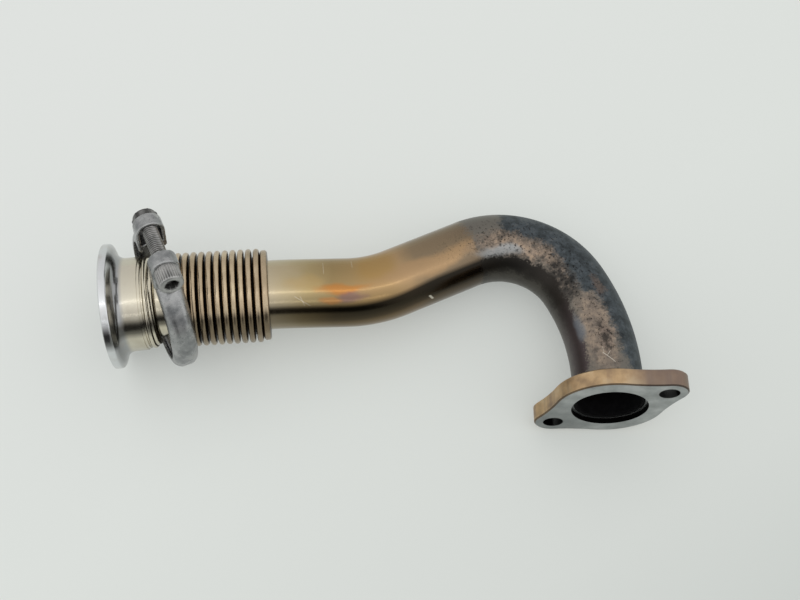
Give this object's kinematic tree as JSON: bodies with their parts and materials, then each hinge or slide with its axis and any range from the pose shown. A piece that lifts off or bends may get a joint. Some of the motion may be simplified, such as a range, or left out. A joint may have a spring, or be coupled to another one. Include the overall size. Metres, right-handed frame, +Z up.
{
  "type": "egr pipe",
  "caption": "Bent exhaust gas recirculation pipe with a flexible bellows, a two-bolt plate flange, a V-flange end and a loose V-band clamp with its bolt.",
  "frame": {"origin": "Middle of the footprint, on the floor the pipe lies on", "axes": "+Z up, +X along the bellows from the V-flange towards the bends, the bolt flange faces -Y"},
  "size_m": [0.2556, 0.106, 0.0796],
  "materials": {
    "heat_tinted_steel": "heat-tinted and oxidised stainless steel",
    "flange_steel": "satin steel face with a stained edge",
    "bellows_steel": "straw-tinted thin stainless steel",
    "neck_steel": "polished stainless steel",
    "clamp_steel": "matt grey formed steel",
    "bolt_steel": "dark grey zinc-coated steel"
  },
  "bodies": {
    "root": {"bent_tube": "heat_tinted_steel", "bolt_flange": "flange_steel", "bellows": "bellows_steel", "bellows_end_ring": "bellows_steel", "neck_tube": "neck_steel", "v_flange": "neck_steel", "clamp_band": "clamp_steel", "clamp_bolt": "bolt_steel", "clamp_nut": "bolt_steel"}
  },
  "joints": []
}
